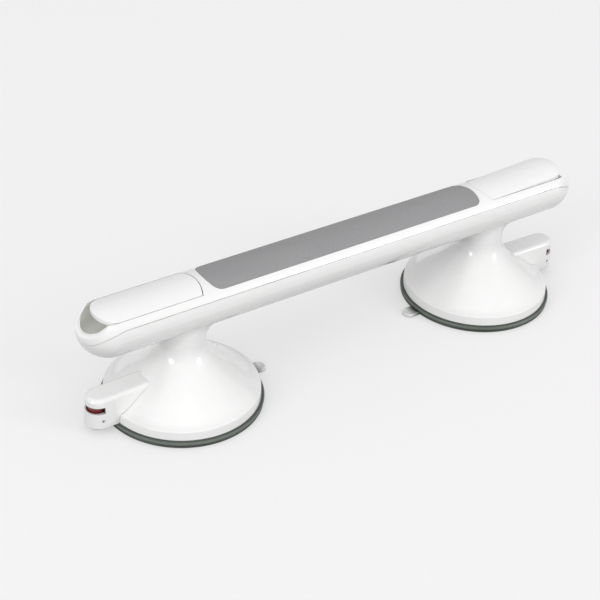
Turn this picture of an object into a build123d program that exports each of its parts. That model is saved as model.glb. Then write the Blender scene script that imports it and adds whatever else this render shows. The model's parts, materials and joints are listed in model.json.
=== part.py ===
from build123d import *
import os
from math import cos, pi, radians, sin, sqrt

# Suction grab bar. X runs along the bar, Y across it, +Z up.
# Origin: on the standing surface, midway between the two suction feet. Millimetres.

# ---- driving dimensions -------------------------------------------------
FOOT_X = 136.3            # each foot's axis from the middle of the bar
BAR_HALF_LENGTH = 216.8
BAR_HALF_WIDTH = 22.3
BAR_SIDE_Z = 82.0         # height at which the bar is widest
BELLY_DEPTH = 20.0        # underside below the widest line
CROWN_Z = 98.4            # top of the crowned back
CROWN_RADIUS = 42.0
CROWN_HALF = 16.6         # half width of the crowned back
WALL = 2.5                # shell wall
FOOT_WALL = 3.0

SEAM_Z = 90.2             # parting line along the sides
SEAM_GAP = 0.25           # shadow gap between the shells
SEAM_FLAT_X = 188.0       # from here out the parting line dips

INSERT_HALF_LENGTH = 120.5
INSERT_HALF_WIDTH = 16.3
INSERT_END_BOW = 3.5      # how far each insert end bows out
INSERT_CORNER = 7.5
INSERT_THICK = 1.5
INSERT_GAP = 0.15

DISC_RADIUS = 59.5        # rubber suction disc
RIM_RADIUS = 57.4         # lower edge of the plastic foot
RIM_BOTTOM = 5.6
RIM_TOP = 12.4
RIM_ROUND = 0.8
NECK_RADIUS = 17.0
NECK_Z = 52.0             # the neck is straight above this
NECK_BLEND = 12.0
CEILING_Z = NECK_Z - 2 * FOOT_WALL   # top of the foot's hollow

LEVER_HALF_WIDTH = 16.0
LEVER_INNER_X = 126.1     # inner edge of the lever, on the centre line
LEVER_INNER_BOW = 3.7
LEVER_TIP_X = 205.2
LEVER_TIP_LENGTH = 12.5   # length of the rounded tip
LEVER_THICK = 3.2
LEVER_ROUND = 0.6         # round on the lever's top edge
LEVER_GAP = 0.45
UNDERCUT_STEP = 0.5
REST_TILT = 2.5           # the right lever stands a little proud, degrees
LEVER_OPEN = radians(78)  # full swing
STROKE = 5.0              # lift of the suction disc over the full swing

SCOOP_INNER_X = 182.0     # finger recess, its end under the lever
SCOOP_TOP = 91.6
SCOOP_WALL = 2.5          # floor of the recess's liner
BOWL_FLOOR = 79.0
BOWL_TOP = 95.0

PIN_Z = 86.5              # lever pin, lever closed
PIN_RADIUS = 2.5
EAR_INNER = 4.0           # lever cheeks, from the centre line
EAR_OUTER = 9.0
EAR_REACH = 14.0          # cheeks' length along the bar, either side of the pin
CAM_PLATE_TOP = 74.3
CAM_PLATE_THICK = 1.8
CAM_PLATE_LENGTH = 19.7
CAM_PLATE_WIDTH = 31.4
CAM_CLEARANCE = 0.3
ROD_RADIUS = 4.0
RUN = 0.06                # running clearance on a radius
GUIDE_RADIUS = 7.0        # rod guide
FLANGE_RADIUS = 9.0
ROD_BOTTOM = 13.0
EYE_BOTTOM = 80.6         # the rod's round shank ends here and its flat eye begins
EYE_RADIUS = 5.2

INSERT_BOTTOM = 9.2       # disc insert, lying on the rubber
INSERT_PLATE_RADIUS = 31.0
INSERT_EDGE_TOP = 12.0
INSERT_BOSS_RADIUS = 9.0
INSERT_BOSS_ROOT = 12.8
INSERT_BOSS_TOP = 21.0    # top of the disc insert's boss; the return spring stands on it
INSERT_RIBS = 8
INSERT_RIB_TOP = 15.5
INSERT_RIB_LENGTH = 19.0
INSERT_RIB_THICK = 1.8

LIP_INNER_RADIUS = 53.0   # inner edge of the rubber's flat sealing lip
MEMBRANE_RADIUS = 26.0    # the membrane is flat inside this
MEMBRANE_UNDER = 5.4
MEMBRANE_TOP = 9.1
TAB_TIP = 71.0            # pull tab's tip from the foot's axis
TAB_HALF_WIDTH = 5.6
TAB_LENGTH = 12.0
TAB_BOTTOM = 0.2
TAB_THICK = 2.8

LUG_INNER_X = 160.0       # warning-indicator lug, from inside the foot's flare
LUG_OUTER_X = 214.0
LUG_HALF_WIDTH = 10.3     # at the foot of the lug
LUG_DRAFT = 2.5           # side draft, degrees
LUG_BOTTOM = 5.7
LUG_TOP = 30.6            # at its inner end
LUG_ROUND = 3.0
LUG_TOP_FALL = 1.5        # fall of the lug's top towards its outer end
FEELER_X = 205.0
FEELER_TRAVEL = 3.0
FEELER_TIP = 0.3          # height of the feeler's tip, pressed in by the surface
FEELER_TIP_RADIUS = 3.4
STEM_RADIUS = 5.7
STEM_BORE = 6.0
DRUM_RADIUS = 6.6
DRUM_BORE = 7.4
BAND_BORE = 5.7           # the red band on the drum
BAND_BOTTOM = 17.0
BAND_TOP = 23.8
CUP_RADIUS = 4.9          # hollow of the drum, which holds the spring
CUP_FLOOR = 16.0
LUG_CEILING = 27.0        # top of the drum's bore; the spring pushes against it
WINDOW_BOTTOM = 17.7
WINDOW_TOP = 22.9
WINDOW_INNER_X = 203.3
DRUM_SHELF = 15.0         # step in the lug's bore that stops the drum
DRUM_BOTTOM = 15.2
FEELER_CONE_TOP = 2.2
SPRING_RADIUS = 4.0
INDICATOR_PIN_Z = 11.8
INDICATOR_PIN_RADIUS = 1.0
INDICATOR_SLOT = 2.3      # width of the feeler's slot, which the pin passes through

END_X = BAR_HALF_LENGTH - BAR_HALF_WIDTH
FOOT_AXIS = Axis((FOOT_X, 0, 0), (0, 0, 1))
FEELER_AXIS = Axis((FEELER_X, 0, 0), (0, 0, 1))
PLATFORM_TOP = CAM_PLATE_TOP - CAM_PLATE_THICK
FLANGE_BOTTOM = PLATFORM_TOP - 2.2
PLATFORM_IN_X = FOOT_X - 6.5
PLATFORM_OUT_X = FOOT_X + 14.0

SCREW_POST_TOP = 84.0     # the lid's bosses stand on the lower shell's posts here
SCREW_POST_BOTTOM = 64.5
POST_RADIUS = 4.5
BOSS_RADIUS = 5.0
SCREW_SHANK = 1.5         # screw radii
SCREW_HEAD = 3.0
SCREW_HEAD_HEIGHT = 2.0
SCREW_HOLE = 1.7
COUNTERBORE = 3.4
GRIP_SCREW_SEAT = 94.0    # under the heads of the screws beneath the grip insert
GRIP_SCREW_LENGTH = 24.0
PLATE_SCREW_LENGTH = 8.8
PILOT_DEPTH = 13.0
PLATE_PILOT_DEPTH = 6.0
BAR_SCREWS = [(x, 0) for x in (-96, -34, 34, 96)]
CAM_SCREW_Y = EAR_OUTER + SCREW_HEAD + 0.4      # the cheeks swing past the heads
CAM_SCREWS = [(side * (FOOT_X + 10.5), y) for side in (-1, 1) for y in (-CAM_SCREW_Y, CAM_SCREW_Y)]
FAR = 60.0                # reach of cutting tools past the part
BAY_BOTTOM = 70.0


def upright(x):
    """A plane through the vertical at x: local x runs outwards, local y up."""
    return Plane((x, 0, 0), x_dir=(1, 0, 0), z_dir=(0, -1, 0))


# ---- shared forms --------------------------------------------------------
def bar_section(inset):
    """Outline of the bar across its length, drawn as (Y, Z), pulled in by inset."""
    crown_centre = CROWN_Z - CROWN_RADIUS
    radius = CROWN_RADIUS - inset
    half = CROWN_HALF * radius / CROWN_RADIUS
    rise = sqrt(radius**2 - half**2)
    slope = half / rise
    edge = crown_centre + rise
    side = BAR_HALF_WIDTH - inset
    with BuildSketch() as section:
        with BuildLine():
            ThreePointArc((-half, edge), (0, crown_centre + radius), (half, edge))
            Spline((half, edge), (side, BAR_SIDE_Z),
                   tangents=[(1, -slope), (0, -1)], tangent_scalars=(0.9, 1.1))
            EllipticalCenterArc((0, BAR_SIDE_Z), side, BELLY_DEPTH - inset,
                                start_angle=180, arc_size=180)
            Spline((-side, BAR_SIDE_Z), (-half, edge),
                   tangents=[(0, 1), (1, slope)], tangent_scalars=(1.1, 0.9))
        make_face()
    return section.sketch


def bar_form(inset=0.0):
    """The whole bar as one solid with turned ends, pulled in all round by inset."""
    section = bar_section(inset)
    with BuildPart() as form:
        with BuildSketch(Plane.YZ.offset(-END_X)):
            add(section)
        extrude(amount=2 * END_X)
        for side in (-1, 1):
            with BuildSketch(Plane.YZ.offset(side * END_X)):
                add(section)
                with Locations((FAR, BAR_SIDE_Z)):
                    Rectangle(2 * FAR, 2 * FAR, mode=Mode.INTERSECT)
            revolve(axis=Axis((side * END_X, 0, 0), (0, 0, -side)), revolution_arc=180)
    return form.part


def under_curve(points, floor):
    """Everything below a curve drawn in side view, mirrored to both ends."""
    (x0, z0) = points[0]
    (x1, z1) = points[-1]
    with BuildPart() as block:
        with BuildSketch(Plane.XZ):
            with BuildLine():
                Line((-x0, z0), (x0, z0))
                Spline(*points, tangents=[(1, 0), (1, -1.15)])
                Polyline((x1, z1), (x1 + FAR, z1 - FAR), (x1 + FAR, floor),
                         (-x1 - FAR, floor), (-x1 - FAR, z1 - FAR), (-x1, z1))
                Spline(*[(-x, z) for x, z in reversed(points)], tangents=[(1, 1.15), (1, 0)])
            make_face()
        extrude(amount=FAR, both=True)
    return block.part


def below_seam(lift=0.0):
    """Space under the parting line, which dips round both ends, raised by lift."""
    points = [(SEAM_FLAT_X, SEAM_Z), (203.0, 87.2), (218.0, 75.6)]
    return under_curve([(x, z + lift) for x, z in points], 0)


def below_rim():
    """Space under the low rim that lets a finger in at each end."""
    return under_curve([(190.0, 99.5), (207.0, 90.6), (221.0, 79.0)], 0)


def lever_outline(gap=0.0):
    """Lever seen from above: bowed inner edge, straight sides, elliptical tip."""
    half = LEVER_HALF_WIDTH + gap
    inner = LEVER_INNER_X - gap
    shoulder = LEVER_TIP_X - LEVER_TIP_LENGTH
    corner_x = inner + LEVER_INNER_BOW
    with BuildSketch() as outline:
        with BuildLine():
            ThreePointArc((corner_x, half), (inner, 0), (corner_x, -half))
            Line((corner_x, -half), (shoulder, -half))
            EllipticalCenterArc((shoulder, 0), LEVER_TIP_LENGTH + gap, half,
                                start_angle=-90, arc_size=180)
            Line((shoulder, half), (corner_x, half))
        make_face()
    return outline.sketch


def insert_outline(gap=0.0):
    """Grip insert seen from above: straight sides, bowed ends, round corners."""
    half = INSERT_HALF_WIDTH + gap
    end = INSERT_HALF_LENGTH + gap
    corner = end - INSERT_END_BOW
    with BuildSketch() as outline:
        with BuildLine():
            Line((-corner, -half), (corner, -half))
            ThreePointArc((corner, -half), (end, 0), (corner, half))
            Line((corner, half), (-corner, half))
            ThreePointArc((-corner, half), (-end, 0), (-corner, -half))
        make_face()
        fillet(outline.vertices(), INSERT_CORNER)
    return outline.sketch


def flare_curve(shrink=0.0):
    """Points of the trumpet-shaped foot, (radius, height), outside or inside by shrink."""
    lean = 0.7 * shrink
    return [(56.8 - shrink, RIM_TOP - 0.2 * shrink),
            (45.0 - lean, 19.5 - lean),
            (32.6 - lean, 29.6 - lean),
            (22.0 - lean, 40.2 - lean),
            (NECK_RADIUS - shrink, NECK_Z - 2 * shrink)]


# ---- casing --------------------------------------------------------------
def foot_solid():
    """One trumpet foot, turned about its own axis."""
    curve = flare_curve()
    with BuildPart() as foot:
        with BuildSketch(upright(FOOT_X)) as profile:
            with BuildLine():
                Polyline((0, RIM_BOTTOM), (RIM_RADIUS, RIM_BOTTOM), curve[0])
                Spline(*curve, tangents=[(-1, 0.2), (0, 1)])
                Polyline(curve[-1], (NECK_RADIUS, PLATFORM_TOP), (0, PLATFORM_TOP),
                         (0, RIM_BOTTOM))
            make_face()
            fillet(profile.vertices().sort_by_distance((*curve[0], 0))[0], RIM_ROUND)
        revolve(axis=FOOT_AXIS)
    return foot.part


def foot_hollow():
    """Space inside a foot, up to the ceiling that carries the rod guide."""
    curve = flare_curve(FOOT_WALL)
    mouth = RIM_RADIUS - FOOT_WALL - 0.4
    with BuildPart() as hollow:
        with BuildSketch(upright(FOOT_X)):
            with BuildLine():
                Polyline((0, 0), (mouth, 0), (mouth, curve[0][1]), curve[0])
                Spline(*curve, tangents=[(-1, 0.2), (0, 1)])
                Polyline(curve[-1], (0, CEILING_Z), (0, 0))
            make_face()
        revolve(axis=FOOT_AXIS)
    return hollow.part


def lug_solid():
    """Lug beside the foot: drafted sides, round outer end, top falling outwards."""
    drop = LUG_TOP - LUG_BOTTOM
    with BuildPart() as lug:
        with BuildSketch(Plane.XY.offset(LUG_BOTTOM)):
            with BuildLine():
                end = LUG_OUTER_X - LUG_HALF_WIDTH
                Polyline((end, LUG_HALF_WIDTH), (LUG_INNER_X, LUG_HALF_WIDTH),
                         (LUG_INNER_X, -LUG_HALF_WIDTH), (end, -LUG_HALF_WIDTH))
                ThreePointArc((end, -LUG_HALF_WIDTH), (LUG_OUTER_X, 0), (end, LUG_HALF_WIDTH))
            make_face()
        extrude(amount=drop, taper=LUG_DRAFT)
        with BuildSketch(Plane.XZ):
            with BuildLine():
                Polyline((LUG_INNER_X, LUG_TOP), (LUG_OUTER_X, LUG_TOP - LUG_TOP_FALL),
                         (LUG_OUTER_X, LUG_TOP + 1), (LUG_INNER_X, LUG_TOP + 1), close=True)
            make_face()
        extrude(amount=FAR, both=True, mode=Mode.SUBTRACT)
        rim = lug.faces().sort_by(Axis.Z)[-1].edges()
        fillet(rim.filter_by(lambda e: e.center().X > LUG_INNER_X + 2), LUG_ROUND)
    return lug.part


def lug_hollow():
    """Stepped bore for the feeler, the viewing window and the retaining pin's hole."""
    with BuildPart() as hollow:
        with BuildSketch(upright(FEELER_X)):
            with BuildLine():
                Polyline((0, LUG_BOTTOM - 1), (STEM_BORE, LUG_BOTTOM - 1), (STEM_BORE, DRUM_SHELF),
                         (DRUM_BORE, DRUM_SHELF), (DRUM_BORE, LUG_CEILING), (0, LUG_CEILING),
                         close=True)
            make_face()
        revolve(axis=FEELER_AXIS)
        with BuildSketch(Plane.XY.offset(WINDOW_BOTTOM)):
            with Locations((WINDOW_INNER_X, 0)):
                Rectangle(FAR, FAR, align=(Align.MIN, Align.CENTER))
        extrude(amount=WINDOW_TOP - WINDOW_BOTTOM)
        with Locations(Plane((FEELER_X, 0, INDICATOR_PIN_Z), z_dir=(0, 1, 0))):
            Cylinder(INDICATOR_PIN_RADIUS, 3 * LUG_HALF_WIDTH)
    return hollow.part


def bar_channel(inner):
    """Hollow of the bar, less the two solid platforms under the levers."""
    length = PLATFORM_OUT_X - PLATFORM_IN_X
    with BuildPart() as channel:
        add(inner)
        with BuildSketch(Plane.XY):
            for side in (-1, 1):
                with Locations((side * (PLATFORM_IN_X + length / 2), 0)):
                    Rectangle(length, 2 * FAR)
        extrude(amount=PLATFORM_TOP, mode=Mode.SUBTRACT)
    return channel.part


def make_lower_shell(outer, inner, low):
    """Underside of the bar, both feet and both lugs, moulded as one."""
    foot = foot_solid()
    lug = lug_solid()
    channel = bar_channel(inner)
    hollows = [foot_hollow(), lug_hollow(), guide_space()]
    with BuildPart() as shell:
        add(outer)
        add(foot)
        mirror(foot, about=Plane.YZ)
        neck_roots = [e for e in shell.edges() if 60 < e.center().Z < 72 and e.length > 60]
        fillet(neck_roots, NECK_BLEND)
        add(lug)
        mirror(lug, about=Plane.YZ)
        add(low, mode=Mode.INTERSECT)
        add(channel, mode=Mode.SUBTRACT)
        with BuildSketch(Plane.XY.offset(SCREW_POST_TOP)):
            with Locations(*BAR_SCREWS):
                Circle(POST_RADIUS)
        extrude(amount=SCREW_POST_BOTTOM - SCREW_POST_TOP)
        with BuildSketch(Plane.XY.offset(SCREW_POST_TOP)):
            with Locations(*BAR_SCREWS):
                Circle(SCREW_SHANK)
        extrude(amount=-PILOT_DEPTH, mode=Mode.SUBTRACT)
        with BuildSketch(Plane.XY.offset(PLATFORM_TOP)):
            with Locations(*CAM_SCREWS):
                Circle(SCREW_SHANK)
        extrude(amount=-PLATE_PILOT_DEPTH, mode=Mode.SUBTRACT)
        for tool in hollows:
            add(tool, mode=Mode.SUBTRACT)
            mirror(tool, about=Plane.YZ, mode=Mode.SUBTRACT)
    return shell


def insert_pocket():
    """Shallow pocket in the bar's back for the grip insert."""
    outline = insert_outline(INSERT_GAP)
    floor = bar_form(INSERT_THICK)
    with BuildPart() as pocket:
        with BuildSketch(Plane.XY.offset(SEAM_Z)):
            add(outline)
        extrude(amount=20)
        add(floor, mode=Mode.SUBTRACT)
    return pocket.part


def bay_step(outer, drop, shift):
    """Space under a depth of `drop` below the bar's back, the lever's outline shifted inwards."""
    outline = lever_outline(LEVER_GAP)
    with BuildPart() as step:
        with BuildSketch(Plane.XY.offset(BAR_SIDE_Z)):
            with Locations((-shift, 0)):
                add(outline)
        extrude(amount=CROWN_Z - BAR_SIDE_Z)
        add(outer.moved(Location((0, 0, -drop))), mode=Mode.INTERSECT)
    return step.part


def lever_bay(outer):
    """Opening for a lever. Its inner edge is undercut, in steps, for the lever's swing."""
    shapes = [lever_outline(LEVER_GAP), scoop_outline(0)]
    swing = (CROWN_Z - PIN_Z) / (FOOT_X - LEVER_INNER_X)
    depths = [0.3 + UNDERCUT_STEP * i for i in range(5)]
    steps = [bay_step(outer, d, swing * (d + UNDERCUT_STEP) - 0.35) for d in depths]
    with BuildPart() as bay:
        for shape in shapes:
            with BuildSketch(Plane.XY.offset(BAY_BOTTOM)):
                add(shape)
            extrude(amount=FAR)
        for step in steps:
            add(step)
    return bay.part


def make_upper_shell(outer, inner, low, rim):
    """Lid of the bar, with the grip pocket and the two lever bays."""
    pocket = insert_pocket()
    bay = lever_bay(outer)
    with BuildPart() as shell:
        add(outer)
        add(low, mode=Mode.SUBTRACT)
        add(rim, mode=Mode.INTERSECT)
        add(inner, mode=Mode.SUBTRACT)
        with BuildSketch(Plane.XY.offset(SCREW_POST_TOP)):
            with Locations(*BAR_SCREWS):
                Circle(BOSS_RADIUS)
        extrude(amount=CROWN_Z - WALL - SCREW_POST_TOP + 0.3)
        add(pocket, mode=Mode.SUBTRACT)
        add(bay, mode=Mode.SUBTRACT)
        mirror(bay, about=Plane.YZ, mode=Mode.SUBTRACT)
        with BuildSketch(Plane.XY.offset(SCREW_POST_TOP - 1)):
            with Locations(*BAR_SCREWS):
                Circle(SCREW_HOLE)
        extrude(amount=FAR, mode=Mode.SUBTRACT)
        with BuildSketch(Plane.XY.offset(GRIP_SCREW_SEAT)):
            with Locations(*BAR_SCREWS):
                Circle(COUNTERBORE)
        extrude(amount=FAR, mode=Mode.SUBTRACT)
    return shell


def scoop_outline(inset):
    """Finger recess seen from above, from under the lever to the end of the bar."""
    half = LEVER_HALF_WIDTH + LEVER_GAP - inset
    with BuildSketch() as outline:
        with BuildLine():
            Polyline((END_X, half), (SCOOP_INNER_X, half), (SCOOP_INNER_X, -half), (END_X, -half))
            EllipticalCenterArc((END_X, 0), BAR_HALF_WIDTH - WALL - 0.4 - inset, half,
                                start_angle=-90, arc_size=180)
        make_face()
    return outline.sketch


def make_finger_scoop(rim):
    """Liner of the finger recess at the end of the bar."""
    cavity = bar_form(WALL + 0.1)
    outline = scoop_outline(-1.2)
    with BuildPart() as bowl:
        with BuildSketch(Plane.XY.offset(BOWL_TOP)):
            add(outline)
        extrude(amount=BOWL_FLOOR - BOWL_TOP, taper=10)
        fillet(bowl.faces().sort_by(Axis.Z)[0].edges(), 4.0)
    with BuildPart() as liner:
        with BuildSketch(Plane.XY.offset(BOWL_FLOOR - SCOOP_WALL)):
            Rectangle(FAR * 4, FAR, align=(Align.MIN, Align.CENTER))
        extrude(amount=SCOOP_TOP - BOWL_FLOOR + SCOOP_WALL)
        add(cavity, mode=Mode.INTERSECT)
        with BuildSketch(Plane.XY.offset(BOWL_FLOOR - SCOOP_WALL)):
            Rectangle(SCOOP_INNER_X, FAR, align=(Align.MIN, Align.CENTER))
        extrude(amount=FAR, mode=Mode.SUBTRACT)
        add(rim, mode=Mode.INTERSECT)
        add(bowl.part, mode=Mode.SUBTRACT)
    return liner


def make_grip_insert(outer):
    """Soft grey pad let into the bar's back, flush with it."""
    outline = insert_outline()
    floor = bar_form(INSERT_THICK)
    with BuildPart() as insert:
        with BuildSketch(Plane.XY.offset(SEAM_Z)):
            add(outline)
        extrude(amount=20)
        add(outer, mode=Mode.INTERSECT)
        add(floor, mode=Mode.SUBTRACT)
    return insert


def screw(x, y, seat, length):
    """Pan-head screw, head upwards, its head lying on seat."""
    with Locations((x, y, seat + SCREW_HEAD_HEIGHT)):
        Cylinder(SCREW_HEAD, SCREW_HEAD_HEIGHT, align=(Align.CENTER, Align.CENTER, Align.MAX))
        Cylinder(SCREW_SHANK, length, align=(Align.CENTER, Align.CENTER, Align.MAX))


def make_grip_screws():
    with BuildPart() as screws:
        for x, y in BAR_SCREWS:
            screw(x, y, GRIP_SCREW_SEAT, GRIP_SCREW_LENGTH)
    return screws


# ---- lever and clamp works ----------------------------------------------
def cam_point(angle):
    """Point of the cheek that bears on the cam plate after the lever turns by angle.

    The bearing height falls evenly with the angle, so the rod's travel is
    proportional to the swing (an involute of a circle of radius `drop`).
    """
    drop = STROKE / LEVER_OPEN
    height = PIN_Z - CAM_PLATE_TOP - CAM_CLEARANCE - drop * angle
    x = -height * sin(angle) + drop * cos(angle)
    z = -height * cos(angle) - drop * sin(angle)
    return (FOOT_X + x, PIN_Z + z)


def bar_edge_z():
    """Height at which the crowned back ends and the round shoulder begins."""
    return CROWN_Z - CROWN_RADIUS + sqrt(CROWN_RADIUS**2 - CROWN_HALF**2)


def is_ear_root(edge):
    """True for the edges where a cheek grows out of the lever's underside."""
    spot = edge.center()
    return abs(spot.Y) <= EAR_OUTER and abs(spot.X - FOOT_X) < EAR_REACH


def make_lever(outer):
    steps = 6
    arc = [cam_point(LEVER_OPEN * i / steps) for i in range(steps + 1)]
    outline = lever_outline()
    underside = bar_form(LEVER_THICK)
    with BuildPart() as lever:
        with BuildSketch(Plane.XY.offset(SEAM_Z)):
            add(outline)
        extrude(amount=20)
        add(outer, mode=Mode.INTERSECT)
        add(underside, mode=Mode.SUBTRACT)
        lowest_crown = bar_edge_z() - 0.5
        for y in (-EAR_OUTER, EAR_INNER):
            with BuildSketch(Plane.XZ.offset(-y)):
                with BuildLine():
                    Spline(*arc)
                    Polyline(arc[-1], (arc[-1][0] - 0.3, PIN_Z + 5), (FOOT_X - 4, PIN_Z + 9.6),
                             (FOOT_X + 14, PIN_Z + 9.6), (FOOT_X + 9, PIN_Z - 4),
                             (FOOT_X + 7, arc[0][1]), arc[0])
                make_face()
            extrude(amount=-(EAR_OUTER - EAR_INNER))
        with Locations(Plane((FOOT_X, 0, PIN_Z), z_dir=(0, 1, 0))):
            Cylinder(PIN_RADIUS, 3 * EAR_OUTER, mode=Mode.SUBTRACT)
        crown = [e for e in lever.edges() if e.bounding_box().min.Z > lowest_crown]
        fillet([e for e in crown if not is_ear_root(e)], LEVER_ROUND)
    return lever


def make_lever_pin():
    with BuildPart() as pin:
        with Locations(Plane((FOOT_X, 0, PIN_Z), z_dir=(0, 1, 0))):
            Cylinder(PIN_RADIUS, 2 * EAR_OUTER + 1.2)
        chamfer(pin.edges(), 0.4)
    return pin


def make_pull_rod():
    """Steel rod from the disc insert up to an eye on the lever pin."""
    eye_half = EAR_INNER - 0.3
    with BuildPart() as rod:
        with BuildSketch(Plane.XY.offset(ROD_BOTTOM)):
            with Locations((FOOT_X, 0)):
                Circle(ROD_RADIUS)
        extrude(amount=EYE_BOTTOM + 1 - ROD_BOTTOM)
        with BuildSketch(Plane.XZ.offset(-eye_half)):
            with Locations((FOOT_X, PIN_Z)):
                Circle(EYE_RADIUS)
            with Locations((FOOT_X, EYE_BOTTOM)):
                Rectangle(2 * EYE_RADIUS, PIN_Z - EYE_BOTTOM, align=(Align.CENTER, Align.MIN))
            with Locations((FOOT_X, PIN_Z)):
                Circle(PIN_RADIUS + RUN, mode=Mode.SUBTRACT)
        extrude(amount=2 * eye_half)
    return rod


def guide_space():
    """Stepped bore in the foot for the rod guide."""
    with BuildPart() as space:
        with BuildSketch(upright(FOOT_X)):
            with BuildLine():
                Polyline((0, CEILING_Z - 1), (GUIDE_RADIUS, CEILING_Z - 1),
                         (GUIDE_RADIUS, FLANGE_BOTTOM),
                         (FLANGE_RADIUS, FLANGE_BOTTOM), (FLANGE_RADIUS, PLATFORM_TOP + 0.1),
                         (0, PLATFORM_TOP + 0.1), close=True)
            make_face()
        revolve(axis=FOOT_AXIS)
    return space.part


def make_rod_guide():
    """Flanged plastic bush that the rod slides in."""
    bore = ROD_RADIUS + RUN
    with BuildPart() as guide:
        with BuildSketch(upright(FOOT_X)):
            with BuildLine():
                Polyline((bore, CEILING_Z), (GUIDE_RADIUS, CEILING_Z), (GUIDE_RADIUS, FLANGE_BOTTOM),
                         (FLANGE_RADIUS, FLANGE_BOTTOM), (FLANGE_RADIUS, PLATFORM_TOP),
                         (bore, PLATFORM_TOP), close=True)
            make_face()
        revolve(axis=FOOT_AXIS)
    return guide


def make_cam_plate():
    """Steel wear plate that the lever's cheeks bear on."""
    with BuildPart() as plate:
        with BuildSketch(Plane.XY.offset(PLATFORM_TOP)):
            with Locations((PLATFORM_IN_X + 0.3, 0)):
                Rectangle(CAM_PLATE_LENGTH, CAM_PLATE_WIDTH, align=(Align.MIN, Align.CENTER))
            with Locations((FOOT_X, 0)):
                Circle(5.0, mode=Mode.SUBTRACT)
            with Locations(*[spot for spot in CAM_SCREWS if spot[0] > 0]):
                Circle(SCREW_HOLE, mode=Mode.SUBTRACT)
        extrude(amount=CAM_PLATE_THICK)
    return plate


def make_bay_screws():
    with BuildPart() as screws:
        for x, y in CAM_SCREWS:
            screw(x, y, CAM_PLATE_TOP, PLATE_SCREW_LENGTH)
    return screws


def coil(x, bottom, top, radius, wire, turns):
    """Helical compression spring standing on its end."""
    with BuildPart() as spring:
        with BuildLine():
            path = Helix(pitch=(top - bottom - 2 * wire) / turns, height=top - bottom - 2 * wire,
                         radius=radius, center=(x, 0, bottom + wire))
        with BuildSketch(Plane(origin=path @ 0, z_dir=path % 0)):
            Circle(wire)
        sweep(path=path, is_frenet=True)
    return spring


def make_disc_insert():
    """Ribbed plate bonded to the rubber, screwed to the rod."""
    with BuildPart() as plate:
        with BuildSketch(upright(FOOT_X)):
            with BuildLine():
                Polyline((0, INSERT_BOTTOM), (INSERT_PLATE_RADIUS, INSERT_BOTTOM),
                         (INSERT_PLATE_RADIUS, INSERT_EDGE_TOP),
                         (INSERT_BOSS_RADIUS, INSERT_BOSS_ROOT),
                         (INSERT_BOSS_RADIUS, INSERT_BOSS_TOP), (ROD_RADIUS, INSERT_BOSS_TOP),
                         (ROD_RADIUS, ROD_BOTTOM), (0, ROD_BOTTOM), close=True)
            make_face()
        revolve(axis=FOOT_AXIS)
        with BuildSketch(Plane.XY.offset(INSERT_EDGE_TOP - 0.5)):
            with Locations((FOOT_X, 0)):
                with PolarLocations(INSERT_BOSS_RADIUS - 1.5 + INSERT_RIB_LENGTH / 2, INSERT_RIBS):
                    Rectangle(INSERT_RIB_LENGTH, INSERT_RIB_THICK)
        extrude(amount=INSERT_RIB_TOP - INSERT_EDGE_TOP + 0.5)
    return plate


def make_suction_disc():
    """Rubber disc: flat lip, thin dished membrane, pull tab towards the middle."""
    lip_top = RIM_BOTTOM
    tab_centre = FOOT_X - TAB_TIP + TAB_HALF_WIDTH
    with BuildPart() as disc:
        with BuildSketch(upright(FOOT_X)):
            with BuildLine():
                Polyline((0, MEMBRANE_UNDER), (MEMBRANE_RADIUS, MEMBRANE_UNDER - 0.2))
                Spline((MEMBRANE_RADIUS, MEMBRANE_UNDER - 0.2), (44.0, 2.6), (LIP_INNER_RADIUS, 0),
                       tangents=[(1, -0.05), (1, -0.4)])
                Polyline((LIP_INNER_RADIUS, 0), (DISC_RADIUS - 1.8, 0), (DISC_RADIUS - 0.4, 0.8),
                         (DISC_RADIUS, 2.0), (DISC_RADIUS, lip_top - 1), (DISC_RADIUS - 0.8, lip_top),
                         (LIP_INNER_RADIUS + 0.6, lip_top), (48.0, lip_top + 0.3),
                         (INSERT_PLATE_RADIUS + 2, MEMBRANE_TOP), (0, MEMBRANE_TOP),
                         (0, MEMBRANE_UNDER))
            make_face()
        revolve(axis=FOOT_AXIS)
        with BuildSketch(Plane.XY.offset(TAB_BOTTOM)):
            with Locations((tab_centre, 0)):
                Circle(TAB_HALF_WIDTH)
                Rectangle(TAB_LENGTH, 2 * TAB_HALF_WIDTH, align=(Align.MIN, Align.CENTER))
            with Locations((FOOT_X, 0)):
                Circle(DISC_RADIUS - 3, mode=Mode.SUBTRACT)
        extrude(amount=TAB_THICK)
    return disc


# ---- warning indicator ---------------------------------------------------
def make_indicator_plunger():
    """Feeler with a drum that shows in the window; hollow above for its spring."""
    with BuildPart() as plunger:
        with BuildSketch(upright(FEELER_X)):
            with BuildLine():
                Polyline((0, FEELER_TIP), (FEELER_TIP_RADIUS, FEELER_TIP),
                         (STEM_RADIUS, FEELER_CONE_TOP), (STEM_RADIUS, DRUM_BOTTOM),
                         (DRUM_RADIUS, DRUM_BOTTOM), (DRUM_RADIUS, BAND_BOTTOM),
                         (BAND_BORE, BAND_BOTTOM), (BAND_BORE, BAND_TOP), (CUP_RADIUS, BAND_TOP),
                         (CUP_RADIUS, CUP_FLOOR), (0, CUP_FLOOR), close=True)
            make_face()
        revolve(axis=FEELER_AXIS)
        with BuildSketch(Plane.XZ.offset(-FAR / 2)):
            with Locations((FEELER_X, INDICATOR_PIN_Z + 1.2)):
                Rectangle(INDICATOR_SLOT, FEELER_TRAVEL + 2.5, align=(Align.CENTER, Align.MAX))
        extrude(amount=FAR, mode=Mode.SUBTRACT)
    return plunger


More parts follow.
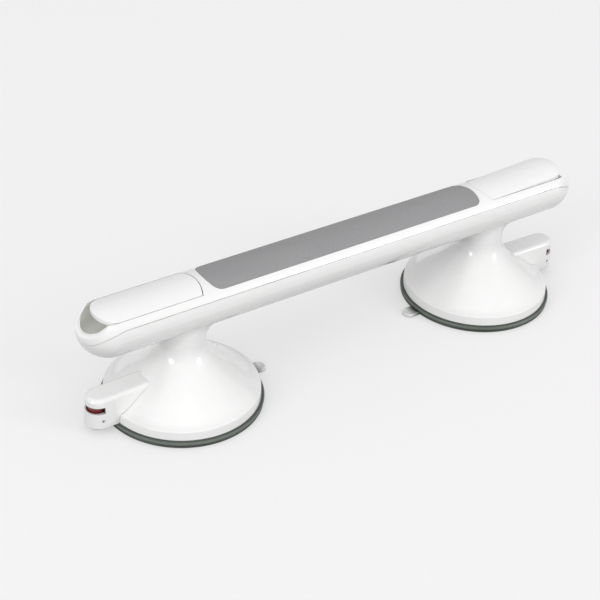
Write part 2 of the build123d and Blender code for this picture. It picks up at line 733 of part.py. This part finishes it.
def make_indicator_band():
    """Red warning sleeve pressed on the drum."""
    with BuildPart() as band:
        with BuildSketch(Plane.XY.offset(BAND_BOTTOM)):
            with Locations((FEELER_X, 0)):
                Circle(DRUM_RADIUS)
                Circle(BAND_BORE, mode=Mode.SUBTRACT)
        extrude(amount=BAND_TOP - BAND_BOTTOM)
    return band


def make_indicator_pin():
    with BuildPart() as pin:
        with Locations(Plane((FEELER_X, 0, INDICATOR_PIN_Z), z_dir=(0, 1, 0))):
            Cylinder(INDICATOR_PIN_RADIUS, 2 * LUG_HALF_WIDTH - 3.0)
    return pin


# ---- build ---------------------------------------------------------------
def save(piece, name):
    piece.part.label = name
    export_step(piece.part, f"parts/{name}.step")


def save_pair(piece, name, tilt=0.0):
    """Write the right-hand piece, turned about the lever pin by tilt, and its mirror image."""
    pin_axis = Axis((FOOT_X, 0, PIN_Z), (0, -1, 0))
    with BuildPart() as tilted:
        add(piece.part.rotate(pin_axis, tilt))
    save(tilted, f"{name}_right")
    with BuildPart() as twin:
        mirror(piece.part, about=Plane.YZ)
    save(twin, f"{name}_left")


os.makedirs("parts", exist_ok=True)
bar_outer = bar_form()
bar_inner = bar_form(WALL)
low_space = below_seam()
rim_space = below_rim()

save(make_lower_shell(bar_outer, bar_inner, low_space), "lower_shell")
save(make_upper_shell(bar_outer, bar_inner, below_seam(SEAM_GAP), rim_space), "upper_shell")
save(make_grip_insert(bar_outer), "grip_insert")
save(make_grip_screws(), "grip_screws")
save(make_bay_screws(), "bay_screws")
save_pair(make_finger_scoop(rim_space), "finger_scoop")
save_pair(make_lever(bar_outer), "lever", REST_TILT)
save_pair(make_lever_pin(), "lever_pin")
save_pair(make_pull_rod(), "pull_rod")
save_pair(make_rod_guide(), "rod_guide")
save_pair(make_cam_plate(), "cam_plate")
save_pair(coil(FOOT_X, INSERT_BOSS_TOP, CEILING_Z, 8.0, 0.7, 5), "return_spring")
save_pair(make_disc_insert(), "disc_insert")
save_pair(make_suction_disc(), "suction_disc")
save_pair(make_indicator_plunger(), "indicator_plunger")
save_pair(make_indicator_band(), "indicator_band")
save_pair(coil(FEELER_X, CUP_FLOOR, LUG_CEILING, SPRING_RADIUS, 0.4, 6), "indicator_spring")
save_pair(make_indicator_pin(), "indicator_pin")
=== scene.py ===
import bmesh
import bpy
import json
from math import cos, pi, radians, sin
from mathutils import Matrix, Vector

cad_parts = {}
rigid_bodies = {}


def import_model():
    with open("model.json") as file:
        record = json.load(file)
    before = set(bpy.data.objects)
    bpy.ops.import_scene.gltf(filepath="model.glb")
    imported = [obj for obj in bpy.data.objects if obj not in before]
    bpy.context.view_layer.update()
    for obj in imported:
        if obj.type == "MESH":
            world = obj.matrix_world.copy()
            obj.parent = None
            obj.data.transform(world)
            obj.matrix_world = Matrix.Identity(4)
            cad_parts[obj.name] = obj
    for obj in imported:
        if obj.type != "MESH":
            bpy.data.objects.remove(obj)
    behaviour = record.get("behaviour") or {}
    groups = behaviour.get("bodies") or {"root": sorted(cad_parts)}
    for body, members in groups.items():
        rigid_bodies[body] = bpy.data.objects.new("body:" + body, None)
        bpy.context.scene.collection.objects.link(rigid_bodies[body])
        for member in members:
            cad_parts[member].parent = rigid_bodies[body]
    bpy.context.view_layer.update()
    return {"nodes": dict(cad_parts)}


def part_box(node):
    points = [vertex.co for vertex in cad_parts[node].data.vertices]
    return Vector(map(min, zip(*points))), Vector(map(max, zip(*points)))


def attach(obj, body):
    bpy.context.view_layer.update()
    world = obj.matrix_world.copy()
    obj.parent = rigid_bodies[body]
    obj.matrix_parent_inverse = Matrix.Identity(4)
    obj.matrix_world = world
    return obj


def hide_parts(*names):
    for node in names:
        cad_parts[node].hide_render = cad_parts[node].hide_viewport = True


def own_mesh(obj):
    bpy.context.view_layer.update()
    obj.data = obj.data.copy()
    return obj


# Suction grab bar: looks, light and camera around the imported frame. Metres.

for leftover in list(bpy.data.objects):
    bpy.data.objects.remove(leftover)

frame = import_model()
scene = bpy.context.scene
SIDES = ("left", "right")
DISC_LOW, DISC_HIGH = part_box("suction_disc_right")
DISC_RADIUS = DISC_HIGH.y
DISC_X = DISC_HIGH.x - DISC_RADIUS      # the foot's axis
TAB_TIP_X = DISC_LOW.x
TAB_ROOT_X = TAB_TIP_X + 0.011
MEMBRANE_TOP = DISC_HIGH.z
LIP_INNER = 0.0530
LIP_TOP = 0.0056
LIP_OVERLAP = 0.0002          # the membrane reaches this far into the lip
TAB_HALF_WIDTH = 0.0056
TAB_LENGTH = 0.0120
TAB_LOW, TAB_HIGH = 0.0003, 0.0029
TAB_ROLL = 0.0004             # height over which the tab's edge is rounded
TURN_STEPS = 192
CURVE_PARTS = 5               # straight pieces between two points of a profile
TAB_ARC_STEPS = 24
MERGE_DISTANCE = 1e-7
RETURN_SPRING_SHARE = 0.985   # leaves room for the rod's last lift as a lever is pressed home

# The painted shade inside each indicator window, as a height range and a distance from the middle.
WINDOW_RISE = 0.00070         # above the band's lower edge
WINDOW_FALL = 0.00090         # below its upper edge
WINDOW_FROM_X, WINDOW_TO_X = 0.2020, 0.2040

# Noise between these values carries a material's mottling and uneven gloss.
MOTTLE_FROM, MOTTLE_TO = 0.3, 0.7
AO_SAMPLES = 8
BEVEL_SAMPLES = 6

CAMERA_BEARING = radians(-35.94)
CAMERA_ELEVATION = radians(33.97)
CAMERA_ROLL = radians(3.10)
CAMERA_DISTANCE = 1.1365
CAMERA_TARGET = Vector((-0.03587, 0, 0.04972))
CAMERA_LENS = 92.59           # millimetres
SENSOR_WIDTH = 36             # millimetres

FLOOR_HALF = 40.0
FLOOR_CELLS = 4
FLOOR_DROP = 0.0002           # keeps the floor just below the rubber
FLOOR_ALBEDO = 0.45
FLOOR_GLOW = 0.46             # the floor is lit from within too, so shadows stay faint
SKY_LIGHT = 0.66
GROUND_LIGHT = 0.04
SKY_FROM, SKY_TO = 0.40, 0.56   # where the dim ground turns into sky; 0.5 is the horizon
RIG = 2.5                     # lights stand this many times their stated distance away
# Name, bearing from -Y in degrees (positive towards +X), height, distance, width and height,
# power, height aimed at, and whether gloss doesn't mirror it.
LIGHTS = (("overhead", -50, 1.9, 0.6, (1.7, 1.3), 2, 0.05, False),
          ("strip_left", -78, 0.66, 1.7, (0.42, 0.80), 6.6, 0.60, False),
          ("strip_right", 38, 0.66, 1.7, (0.42, 0.80), 6.6, 0.60, False),
          ("front_fill", -2, 0.33, 2.2, (1.6, 0.5), 7, 0.10, True),
          ("front_key", -24, 1.5, 1.5, (1.5, 1.2), 2, 0.05, True),
          ("left_fill", -65, 0.95, 1.9, (1.2, 1.2), 7.5, 0.10, True),
          ("right_fill", 38, 0.95, 1.9, (1.0, 1.2), 3, 0.10, True))


# ---- material helpers ----------------------------------------------------
class Graph:
    """A material's node graph, with short calls for the nodes used here."""

    def __init__(self, name):
        self.material = bpy.data.materials.new(name)
        self.material.use_nodes = True
        self.tree = self.material.node_tree
        self.shader = self.tree.nodes["Principled BSDF"]
        self.place = self.node("ShaderNodeTexCoord").outputs["Object"]

    def node(self, kind, **values):
        made = self.tree.nodes.new(kind)
        for key, value in values.items():
            setattr(made, key, value)
        return made

    def link(self, source, target):
        self.tree.links.new(source, target)

    def noise(self, scale, detail=3.0, stretch=(1, 1, 1), seed=0.0, roughness=0.55):
        """Noise over the piece; scale counts features per metre."""
        mapping = self.node("ShaderNodeMapping")
        mapping.inputs["Scale"].default_value = stretch
        mapping.inputs["Location"].default_value = (seed, seed * 0.7, seed * 1.3)
        self.link(self.place, mapping.inputs["Vector"])
        noise = self.node("ShaderNodeTexNoise")
        noise.inputs["Scale"].default_value = scale
        noise.inputs["Detail"].default_value = detail
        noise.inputs["Roughness"].default_value = roughness
        self.link(mapping.outputs["Vector"], noise.inputs["Vector"])
        return noise.outputs["Fac"]

    def cells(self, scale, seed=0.0):
        """Distance to the middle of small random cells, for a moulded grain."""
        mapping = self.node("ShaderNodeMapping")
        mapping.inputs["Location"].default_value = (seed, seed, seed)
        self.link(self.place, mapping.inputs["Vector"])
        cells = self.node("ShaderNodeTexVoronoi")
        cells.inputs["Scale"].default_value = scale
        self.link(mapping.outputs["Vector"], cells.inputs["Vector"])
        return cells.outputs["Distance"]

    def ramp(self, factor, *stops):
        """Value or colour that follows factor through (position, value) stops."""
        ramp = self.node("ShaderNodeValToRGB")
        elements = ramp.color_ramp.elements
        while len(elements) < len(stops):
            elements.new(0.5)
        for element, (position, value) in zip(elements, stops):
            element.position = position
            if isinstance(value, (int, float)):
                value = (value, value, value)
            element.color = (*value, 1)
        self.link(factor, ramp.inputs["Fac"])
        return ramp.outputs["Color"]

    def mottled(self, noise, low, high):
        """Value or colour from low to high, carried by noise."""
        return self.ramp(noise, (MOTTLE_FROM, low), (MOTTLE_TO, high))

    def mixed(self, kind, factor, first, second):
        """first and second joined by kind; factor may be a number and second a colour."""
        mix = self.node("ShaderNodeMix", data_type="RGBA", blend_type=kind)
        self.link(first, mix.inputs["A"])
        for value, socket in ((factor, mix.inputs["Factor"]), (second, mix.inputs["B"])):
            if isinstance(value, (int, float, tuple)):
                socket.default_value = value
            else:
                self.link(value, socket)
        return mix.outputs["Result"]

    def multiply(self, first, second):
        return self.mixed("MULTIPLY", 1.0, first, second)

    def painted_crevice_shade(self, distance, dark):
        """Painted shade where surfaces meet, fading over distance."""
        shade = self.node("ShaderNodeAmbientOcclusion", samples=AO_SAMPLES)
        shade.inputs["Distance"].default_value = distance
        return self.ramp(shade.outputs["AO"], (0.25, dark), (0.85, 1.0))

    def rounded_normal(self, radius):
        """The surface's normal, with its edges rounded to radius."""
        rounded = self.node("ShaderNodeBevel", samples=BEVEL_SAMPLES)
        rounded.inputs["Radius"].default_value = radius
        return rounded.outputs["Normal"]

    def worn_edge(self, radius, most=1.0):
        """0 on flat stretches and most on edges, found from a rounded normal."""
        geometry = self.node("ShaderNodeNewGeometry")
        dot = self.node("ShaderNodeVectorMath", operation="DOT_PRODUCT")
        self.link(self.rounded_normal(radius), dot.inputs[0])
        self.link(geometry.outputs["Normal"], dot.inputs[1])
        return self.ramp(dot.outputs["Value"], (0.80, most), (0.995, 0.0))

    def bump(self, height, depth, round_edges):
        """Bump of a real depth in metres, over edges rounded to round_edges."""
        bump = self.node("ShaderNodeBump")
        bump.inputs["Distance"].default_value = depth
        self.link(height, bump.inputs["Height"])
        self.link(self.rounded_normal(round_edges), bump.inputs["Normal"])
        self.link(bump.outputs["Normal"], self.shader.inputs["Normal"])

    def coordinate(self, axis):
        """The piece's own X, Y or Z."""
        split = self.node("ShaderNodeSeparateXYZ")
        self.link(self.place, split.inputs["Vector"])
        return split.outputs[axis]

    def size_of(self, value):
        """value without its sign."""
        magnitude = self.node("ShaderNodeMath", operation="ABSOLUTE")
        self.link(value, magnitude.inputs[0])
        return magnitude.outputs["Value"]

    def scaled(self, value, low, high):
        """value from low to high, as 0 to 1."""
        span = self.node("ShaderNodeMapRange")
        span.inputs["From Min"].default_value = low
        span.inputs["From Max"].default_value = high
        self.link(value, span.inputs["Value"])
        return span.outputs["Result"]

    def colour(self, value):
        self.link(value, self.shader.inputs["Base Color"])

    def roughness(self, noise, low, high):
        self.link(self.mottled(noise, low, high), self.shader.inputs["Roughness"])

    def set(self, **values):
        """Constants on the shader's own sockets; _ in a name stands for a space."""
        for key, value in values.items():
            self.shader.inputs[key.replace("_", " ")].default_value = value


# ---- materials -----------------------------------------------------------
def slot_shade(g):
    """Painted shade inside the indicator windows, 1 elsewhere."""
    x, z = g.size_of(g.coordinate("X")), g.coordinate("Z")
    low, high = (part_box("indicator_band_right")[i].z for i in (0, 1))
    low, high = low + WINDOW_RISE, high - WINDOW_FALL
    margin = 0.1 * (high - low)
    # With that margin, low and high lie at 1/12 and 11/12 of the range.
    level = g.scaled(z, low - margin, high + margin)
    band = g.ramp(level, (0.082, 0.0), (0.083, 1.0), (0.917, 1.0), (0.918, 0.0))
    beyond = g.ramp(g.scaled(x, WINDOW_FROM_X, WINDOW_TO_X), (0.60, 0.0), (0.62, 1.0))
    return g.ramp(g.multiply(band, beyond), (0.0, 1.0), (1.0, (0.10, 0.085, 0.08)))


def glossy_white(name, tint, seed, rough=(0.17, 0.27), coat=0.9, window=False):
    """Injection-moulded white plastic: faint flow clouds, fine scuffs, soft orange peel, and
    painted shade in crevices and, with window, in the indicator windows.
    """
    g = Graph(name)
    clouds = g.mottled(g.noise(9, 4, (0.4, 1, 1), seed), tuple(0.965 * c for c in tint), tint)
    fine = g.ramp(g.noise(160, 5, seed=seed + 3), (0.35, 0.985), (0.65, 1.0))
    scuffs = g.ramp(g.noise(70, 8, (0.25, 2.2, 2.2), seed + 5, 0.7), (0.60, 1.0), (0.80, 0.965))
    # Painted shade in crevices and seams, its strength varied by noise so the parting line shows
    # uneven dark stretches.
    seam_shade_strength = g.ramp(g.noise(38, 3, seed=seed + 17, roughness=0.6), (0.42, 0.35), (0.60, 1.0))
    colour = g.mixed("MULTIPLY", seam_shade_strength, g.multiply(g.multiply(clouds, fine), scuffs),
                     g.painted_crevice_shade(0.0018, (0.30, 0.30, 0.29)))
    # Painted shade inside the indicator windows.
    if window:
        colour = g.multiply(colour, slot_shade(g))
    g.colour(colour)
    g.roughness(g.noise(45, 6, (0.3, 1.4, 1.4), seed + 8, 0.65), *rough)
    g.bump(g.noise(420, 2, seed=seed + 11), 0.00002, 0.0004)
    g.set(IOR=1.49, Specular_IOR_Level=0.5, Coat_Weight=coat, Coat_Roughness=0.06,
          Subsurface_Weight=0.05, Subsurface_Radius=(0.004, 0.004, 0.004), Subsurface_Scale=0.5)
    return g.material


def soft_grip():
    """Matte grey thermoplastic rubber with a fine moulded grain."""
    g = Graph("grip_rubber")
    base = g.mottled(g.noise(14, 5, (0.5, 1, 1), 2), (0.272, 0.272, 0.280), (0.318, 0.318, 0.324))
    cells = g.cells(1300, 1.0)
    grain = g.ramp(cells, (0.0, 0.90), (0.55, 1.04))
    # Painted shade where surfaces meet darkens the grip's colour.
    colour = g.multiply(g.multiply(base, grain), g.painted_crevice_shade(0.003, (0.62, 0.62, 0.63)))
    g.colour(g.mixed("MIX", g.worn_edge(0.0005), colour, (0.24, 0.24, 0.245, 1)))
    g.roughness(g.noise(240, 4, seed=6), 0.52, 0.72)
    g.bump(cells, 0.00006, 0.0004)
    g.set(IOR=1.5, Specular_IOR_Level=0.4, Sheen_Weight=0.08, Sheen_Roughness=0.5)
    return g.material


def disc_rubber():
    """Grey-green vulcanised rubber, darker along its moulded edges, faintly bloomed, with painted
    shade low on the lip's side, under the foot's rim and where surfaces meet.
    """
    g = Graph("disc_rubber")
    base = g.mottled(g.noise(30, 5, seed=4), (0.118, 0.143, 0.122), (0.160, 0.190, 0.163))
    bloom = g.ramp(g.noise(220, 6, seed=9, roughness=0.7), (0.35, 0.90), (0.68, 1.06))
    edges = g.ramp(g.worn_edge(0.0009), (0.0, 1.0), (0.8, 0.46))
    colour = g.multiply(g.multiply(base, bloom), edges)
    # Painted shade where surfaces meet darkens the rubber.
    colour = g.multiply(colour, g.painted_crevice_shade(0.0025, (0.42, 0.43, 0.42)))
    x, z = g.coordinate("X"), g.coordinate("Z")
    # Painted shade: the lip's side darkens towards its bottom and under the foot's rim at its top,
    # so its middle is lighter.
    side = g.ramp(g.scaled(z, 0.0, LIP_TOP), (0.10, 0.28), (0.36, 0.34), (0.50, 0.95), (0.78, 1.0),
                  (0.92, 0.42))
    colour = g.multiply(colour, side)
    # The pull tab is thin and handled, and shows paler than the lip.
    on_tab = g.ramp(g.scaled(g.size_of(x), TAB_TIP_X, TAB_ROOT_X), (0.35, 1.0), (0.95, 0.0))
    tab = g.mottled(g.noise(300, 4, seed=21), (0.74, 0.75, 0.74), (0.82, 0.83, 0.82))
    g.colour(g.mixed("MIX", on_tab, colour, tab))
    g.roughness(g.noise(90, 5, seed=12), 0.34, 0.52)
    g.bump(g.noise(900, 3, seed=5), 0.00003, 0.0005)
    g.set(IOR=1.52, Specular_IOR_Level=0.45)
    return g.material


def recess_plastic():
    """Satin grey-beige plastic of the finger recess, with a fine spark-eroded grain."""
    g = Graph("recess_plastic")
    base = g.mottled(g.noise(60, 4, seed=3), (0.89, 0.89, 0.845), (0.94, 0.94, 0.90))
    cells = g.cells(1500)
    # Painted shade in the recess's corners, where surfaces meet.
    g.colour(g.multiply(g.multiply(base, g.painted_crevice_shade(0.002, (0.80, 0.79, 0.76))),
                        g.ramp(cells, (0.0, 0.95), (0.5, 1.02))))
    g.roughness(g.noise(300, 3, seed=7), 0.38, 0.55)
    g.bump(cells, 0.00004, 0.0004)
    g.set(IOR=1.49)
    return g.material


def metal(name, colour, stretch, rough, seed):
    """Steel with drawn or turned marks, longest where stretch is smallest."""
    g = Graph(name)
    marks = g.noise(900, 4, stretch, seed, 0.7)
    base = g.mottled(marks, tuple(0.82 * c for c in colour), colour)
    # Painted shade where surfaces meet darkens the steel.
    g.colour(g.multiply(base, g.painted_crevice_shade(0.002, (0.45, 0.43, 0.41))))
    g.roughness(g.noise(400, 5, stretch, seed + 4), *rough)
    g.bump(marks, 0.00001, 0.0002)
    g.set(Metallic=1.0)
    return g.material


def moulded(name, colour, rough, seed, coat=0.0):
    """Coloured moulded plastic with slight mottling and lighter rubbed edges."""
    g = Graph(name)
    mottle = g.mottled(g.noise(180, 5, seed=seed), tuple(0.8 * c for c in colour), colour)
    rubbed = g.mixed("MIX", g.worn_edge(0.0003, 0.5), mottle,
                     (*(0.15 + 0.8 * c for c in colour), 1))
    # Painted shade where surfaces meet darkens the plastic.
    g.colour(g.multiply(rubbed, g.painted_crevice_shade(0.002, (0.5, 0.5, 0.5))))
    g.roughness(g.noise(350, 4, seed=seed + 2), *rough)
    g.bump(g.noise(800, 2, seed=seed + 5), 0.00002, 0.0002)
    g.set(Coat_Weight=coat, Coat_Roughness=0.08)
    return g.material


def assign(material, *stems):
    """Gives a CAD node, or both nodes of a left and right pair, this material."""
    for stem in stems:
        for name in (stem, *(f"{stem}_{side}" for side in SIDES)):
            if name in frame["nodes"]:
                node = frame["nodes"][name]
                for slot in node.material_slots:
                    slot.material = material


def dress_nodes():
    """Gives every CAD node that shows as it is its material."""
    assign(glossy_white("shell_white", (0.905, 0.905, 0.90), 1.0, window=True), "lower_shell")
    assign(glossy_white("lid_white", (0.91, 0.91, 0.905), 7.0), "upper_shell")
    assign(glossy_white("lever_white", (0.90, 0.905, 0.90), 13.0, (0.38, 0.44), 0.15), "lever")
    assign(soft_grip(), "grip_insert")
    assign(recess_plastic(), "finger_scoop")
    assign(metal("rod_steel", (0.62, 0.62, 0.63), (3, 3, 0.15), (0.22, 0.38), 2.0),
           "pull_rod", "lever_pin", "indicator_pin", "grip_screws", "bay_screws")
    assign(metal("plate_steel", (0.58, 0.58, 0.59), (0.15, 3, 3), (0.28, 0.45), 5.0), "cam_plate")
    assign(moulded("works_black", (0.030, 0.030, 0.032), (0.40, 0.60), 3.0),
           "rod_guide", "disc_insert")
    assign(moulded("natural_nylon", (0.62, 0.62, 0.59), (0.32, 0.46), 6.0, 0.1),
           "indicator_plunger")
    assign(moulded("warning_red", (0.190, 0.010, 0.009), (0.16, 0.28), 9.0, 0.3), "indicator_band")


# ---- rubber discs --------------------------------------------------------
def piece_from(name, mesh, material):
    """Turns a bmesh into a named, smooth-shaded object with this material."""
    bmesh.ops.recalc_face_normals(mesh, faces=mesh.faces)
    for face in mesh.faces:
        face.smooth = True
    data = bpy.data.meshes.new(name)
    mesh.to_mesh(data)
    mesh.free()
    data.materials.append(material)
    piece = bpy.data.objects.new(name, data)
    scene.collection.objects.link(piece)
    return piece


def skin(mesh, ring, following):
    """Quads between two closed rings of as many vertices."""
    for i in range(len(ring)):
        j = (i + 1) % len(ring)
        mesh.faces.new((ring[i], ring[j], following[j], following[i]))


def turned(profile, centre_x):
    """A closed outline of (radius, height) points turned about the upright line at centre_x."""
    mesh = bmesh.new()
    rings = []
    for step in range(TURN_STEPS):
        angle = 2 * pi * step / TURN_STEPS
        rings.append([mesh.verts.new((centre_x + r * cos(angle), r * sin(angle), z))
                      for r, z in profile])
    for ring, following in zip(rings, [*rings[1:], rings[0]]):
        skin(mesh, ring, following)
    bmesh.ops.remove_doubles(mesh, verts=mesh.verts, dist=MERGE_DISTANCE)
    bmesh.ops.dissolve_degenerate(mesh, edges=mesh.edges, dist=MERGE_DISTANCE)
    return mesh


def smooth_run(points):
    """Catmull-Rom curve through (radius, height) points, without its last point."""
    padded = [points[0], *points, points[-1]]
    run = []
    for a, b, c, d in zip(padded, padded[1:], padded[2:], padded[3:]):
        for part in range(CURVE_PARTS):
            t = part / CURVE_PARTS
            run.append(tuple(0.5 * (2 * b[k] + (c[k] - a[k]) * t
                                    + (2 * a[k] - 5 * b[k] + 4 * c[k] - d[k]) * t**2
                                    + (3 * b[k] - a[k] - 3 * c[k] + d[k]) * t**3) for k in (0, 1)))
    return run


def lip_profile():
    """Sealing lip in section: flat sole, thin flange, groove, and the bead under the foot's rim."""
    r = DISC_RADIUS
    outer = [(r - 0.0018, 0.0), (r - 0.0007, 0.0003), (r - 0.0004, 0.0009), (r - 0.0009, 0.0016),
             (r - 0.0010, 0.0020), (r - 0.0003, 0.0026), (r, 0.0034), (r - 0.0002, 0.0044),
             (r - 0.0009, 0.0051), (r - 0.0020, LIP_TOP)]
    return [(LIP_INNER, 0.0), *smooth_run(outer), outer[-1], (LIP_INNER, LIP_TOP)]


def membrane_profile():
    """Dished membrane inside the lip: thick middle under the insert, thin towards the lip."""
    under = [(LIP_INNER, 0.0), (0.0490, 0.0011), (0.0440, 0.0026), (0.0350, 0.0046),
             (0.0260, 0.0052), (0.0120, 0.0054), (0.0001, 0.0054)]
    top = [(0.0001, MEMBRANE_TOP), (0.0200, MEMBRANE_TOP), (0.0330, MEMBRANE_TOP),
           (0.0400, 0.0078), (0.0480, 0.0060), (LIP_INNER + LIP_OVERLAP, LIP_TOP)]
    return [*smooth_run(under), under[-1], *smooth_run(top), top[-1],
            (LIP_INNER + LIP_OVERLAP, 0.0)]


def tab_mesh(side):
    """Pull tab: round-ended tongue with a rolled edge and a shallow thumb hollow."""
    half, length, low, high = TAB_HALF_WIDTH, TAB_LENGTH, TAB_LOW, TAB_HIGH
    centre = side * (TAB_TIP_X + half)
    arc = [pi / 2 + pi * i / TAB_ARC_STEPS for i in range(TAB_ARC_STEPS + 1)]
    outline = [(half * cos(a), half * sin(a)) for a in arc]
    outline = [(length, half), (length / 2, half), *outline, (length / 2, -half), (length, -half)]
    # Share of the outline's width and height of each ring, up the edge and into the hollow.
    levels = [(0.90, low), (0.98, low + TAB_ROLL), (1.0, (low + high) / 2),
              (0.98, high - TAB_ROLL), (0.90, high), (0.80, high - 0.0001),
              (0.66, high - 0.0006), (0.40, high - 0.0008)]
    mesh = bmesh.new()
    rings = []
    for share, z in levels:
        rings.append([mesh.verts.new((centre + side * x * (share if x < 0 else 1), y * share, z))
                      for x, y in outline])
    for ring, above in zip(rings, rings[1:]):
        skin(mesh, ring, above)
    mesh.faces.new(rings[0])
    mesh.faces.new(rings[-1])
    return mesh


def make_discs():
    """Lip, membrane and pull tab in place of each CAD disc."""
    rubber = disc_rubber()
    for name, side in (("left", -1), ("right", 1)):
        node = f"suction_disc_{name}"
        parts = {"lip": turned(lip_profile(), side * DISC_X),
                 "membrane": turned(membrane_profile(), side * DISC_X),
                 "tab": tab_mesh(side)}
        for part, mesh in parts.items():
            piece = piece_from(f"rubber_{part}_{name}", mesh, rubber)
            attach(piece, "root")
            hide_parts(node)
            if part == "membrane":
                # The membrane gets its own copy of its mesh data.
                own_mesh(piece)


def spring_from(node, steel, anchor_z, share=1.0):
    """A spring of its own over the node's coil, its free end drawn in to share of its length."""
    mesh = bmesh.new()
    mesh.from_mesh(frame["nodes"][node].data)
    for vert in mesh.verts:
        vert.co.z = anchor_z + (vert.co.z - anchor_z) * share
    name, side = node.rsplit("_", 1)
    piece = piece_from(f"{name}_coil_{side}", mesh, steel)
    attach(piece, "root")
    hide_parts(node)
    return piece


def make_springs():
    """Spring pieces of their own over both pairs of CAD coils, the return springs drawn in
    slightly; each feeler's coil gets its own mesh data.
    """
    steel = metal("spring_steel", (0.50, 0.50, 0.52), (1, 1, 1), (0.18, 0.30), 8.0)
    for side in SIDES:
        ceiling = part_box(f"return_spring_{side}")[1].z
        spring_from(f"return_spring_{side}", steel, ceiling, RETURN_SPRING_SHARE)
        low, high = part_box(f"indicator_spring_{side}")
        coil = spring_from(f"indicator_spring_{side}", steel, high.z)
        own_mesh(coil)


# ---- studio --------------------------------------------------------------
def floor_pale():
    """Even matt grey that also glows."""
    g = Graph("floor_pale")
    g.colour(g.mottled(g.noise(6, 3), 0.995 * FLOOR_ALBEDO, FLOOR_ALBEDO))
    g.set(Roughness=0.9, Specular_IOR_Level=0.1, Emission_Color=(1, 1, 1, 1),
          Emission_Strength=FLOOR_GLOW)
    return g.material


def make_floor():
    """A pale floor, large enough to fill every view."""
    mesh = bmesh.new()
    bmesh.ops.create_grid(mesh, x_segments=FLOOR_CELLS, y_segments=FLOOR_CELLS, size=FLOOR_HALF)
    data = bpy.data.meshes.new("floor")
    mesh.to_mesh(data)
    mesh.free()
    floor = bpy.data.objects.new("floor", data)
    scene.collection.objects.link(floor)
    floor.location.z = -FLOOR_DROP
    data.materials.append(floor_pale())
    floor.visible_diffuse = False


def area_light(name, bearing, height, distance, size, power, aim_height, soft_only):
    """Softbox from a row of LIGHTS."""
    data = bpy.data.lights.new(name, "AREA")
    data.shape = "RECTANGLE"
    data.size, data.size_y = (RIG * side for side in size)
    data.energy = power * RIG**2
    lamp = bpy.data.objects.new(name, data)
    lamp.visible_glossy = not soft_only
    scene.collection.objects.link(lamp)
    bearing = radians(bearing)
    lamp.location = RIG * Vector((distance * sin(bearing), -distance * cos(bearing), height))
    aim = Vector((0, 0, RIG * aim_height)) - lamp.location
    lamp.rotation_euler = aim.to_track_quat("-Z", "Y").to_euler()


def make_world():
    """Even light from above, dimmer from below, so that undersides fall into shade."""
    world = bpy.data.worlds.new("studio")
    scene.world = world
    world.use_nodes = True
    tree = world.node_tree
    background = tree.nodes["Background"]
    place = tree.nodes.new("ShaderNodeTexCoord")
    split = tree.nodes.new("ShaderNodeSeparateXYZ")
    ramp = tree.nodes.new("ShaderNodeValToRGB")
    tree.links.new(place.outputs["Generated"], split.inputs["Vector"])
    height = tree.nodes.new("ShaderNodeMapRange")
    height.inputs["From Min"].default_value = -1
    tree.links.new(split.outputs["Z"], height.inputs["Value"])
    tree.links.new(height.outputs["Result"], ramp.inputs["Fac"])
    low, high = ramp.color_ramp.elements
    low.position, high.position = SKY_FROM, SKY_TO
    low.color = (GROUND_LIGHT, GROUND_LIGHT, GROUND_LIGHT, 1)
    high.color = (SKY_LIGHT, SKY_LIGHT, SKY_LIGHT, 1)
    tree.links.new(ramp.outputs["Color"], background.inputs["Color"])


def make_light():
    make_world()
    for row in LIGHTS:
        area_light(*row)
    scene.view_settings.view_transform = "Standard"


def make_camera():
    """The photograph's viewpoint, as a bearing, elevation and roll about its target."""
    data = bpy.data.cameras.new("camera")
    data.lens = CAMERA_LENS
    data.sensor_width = SENSOR_WIDTH
    camera = bpy.data.objects.new("camera", data)
    scene.collection.objects.link(camera)
    az, el = CAMERA_BEARING, CAMERA_ELEVATION
    back = Vector((sin(az) * cos(el), -cos(az) * cos(el), sin(el)))
    level = Vector((cos(az), sin(az), 0))
    upward = back.cross(level)
    right = cos(CAMERA_ROLL) * level + sin(CAMERA_ROLL) * upward
    top = -sin(CAMERA_ROLL) * level + cos(CAMERA_ROLL) * upward
    turn = Matrix((right, top, back)).transposed().to_4x4()
    camera.matrix_world = Matrix.Translation(CAMERA_TARGET + CAMERA_DISTANCE * back) @ turn
    scene.camera = camera


dress_nodes()
make_discs()
make_springs()
make_floor()
make_light()
make_camera()

bpy.context.view_layer.update()
